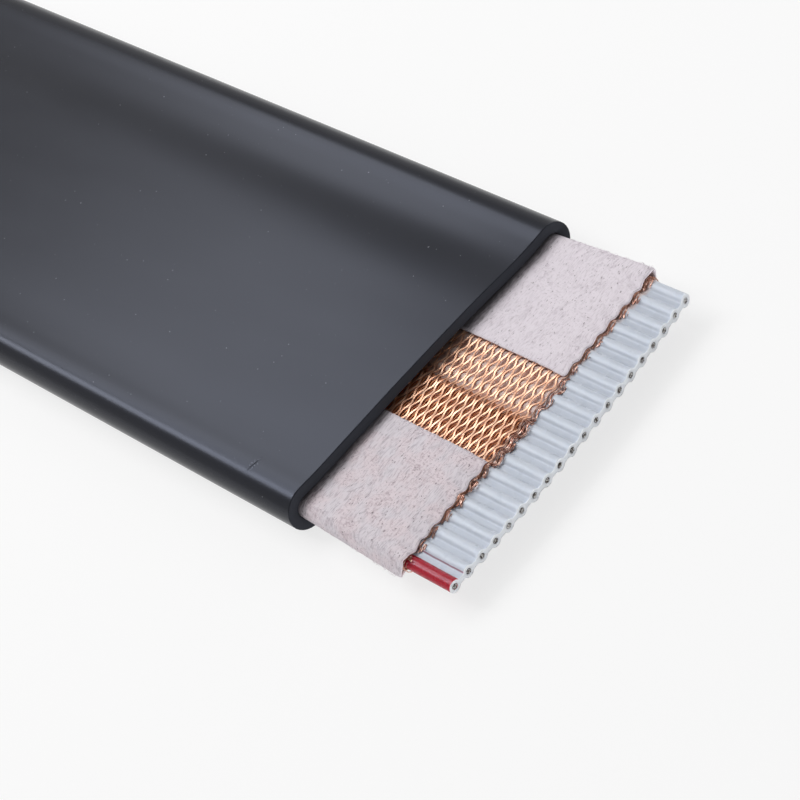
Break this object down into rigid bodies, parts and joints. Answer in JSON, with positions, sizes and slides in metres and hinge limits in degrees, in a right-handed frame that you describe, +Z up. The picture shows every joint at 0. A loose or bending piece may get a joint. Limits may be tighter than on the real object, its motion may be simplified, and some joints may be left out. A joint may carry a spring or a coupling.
{
  "type": "shielded ribbon cable",
  "caption": "Flat jacketed ribbon cable, stripped back in steps to show its fleece wrap, copper mesh shield, ridged grey ribbon and stranded conductors.",
  "frame": {"origin": "centre of the bounding box, on the surface that the jacket's flat underside lies on", "axes": "+X along the cable to the stripped end, +Y across it away from the red edge mark, +Z up through the side with the bare window"},
  "size_m": [0.09, 0.0274, 0.0034],
  "materials": {
    "jacket_pvc": "satin black extruded PVC",
    "fleece": "matt white nonwoven fleece",
    "copper": "bright bare copper",
    "ribbon_pvc": "satin light grey PVC with a red edge mark",
    "tinned_wire": "tinned copper strands, freshly cut"
  },
  "bodies": {
    "root": {"jacket": "jacket_pvc", "fleece_wrap": "fleece", "copper_mesh": "copper", "ribbon_insulation": "ribbon_pvc", "conductor_01": "tinned_wire", "conductor_02": "tinned_wire", "conductor_03": "tinned_wire", "conductor_04": "tinned_wire", "conductor_05": "tinned_wire", "conductor_06": "tinned_wire", "conductor_07": "tinned_wire", "conductor_08": "tinned_wire", "conductor_09": "tinned_wire", "conductor_10": "tinned_wire", "conductor_11": "tinned_wire", "conductor_12": "tinned_wire", "conductor_13": "tinned_wire", "conductor_14": "tinned_wire", "conductor_15": "tinned_wire", "conductor_16": "tinned_wire", "conductor_17": "tinned_wire", "conductor_18": "tinned_wire", "conductor_19": "tinned_wire", "conductor_20": "tinned_wire"}
  },
  "joints": []
}
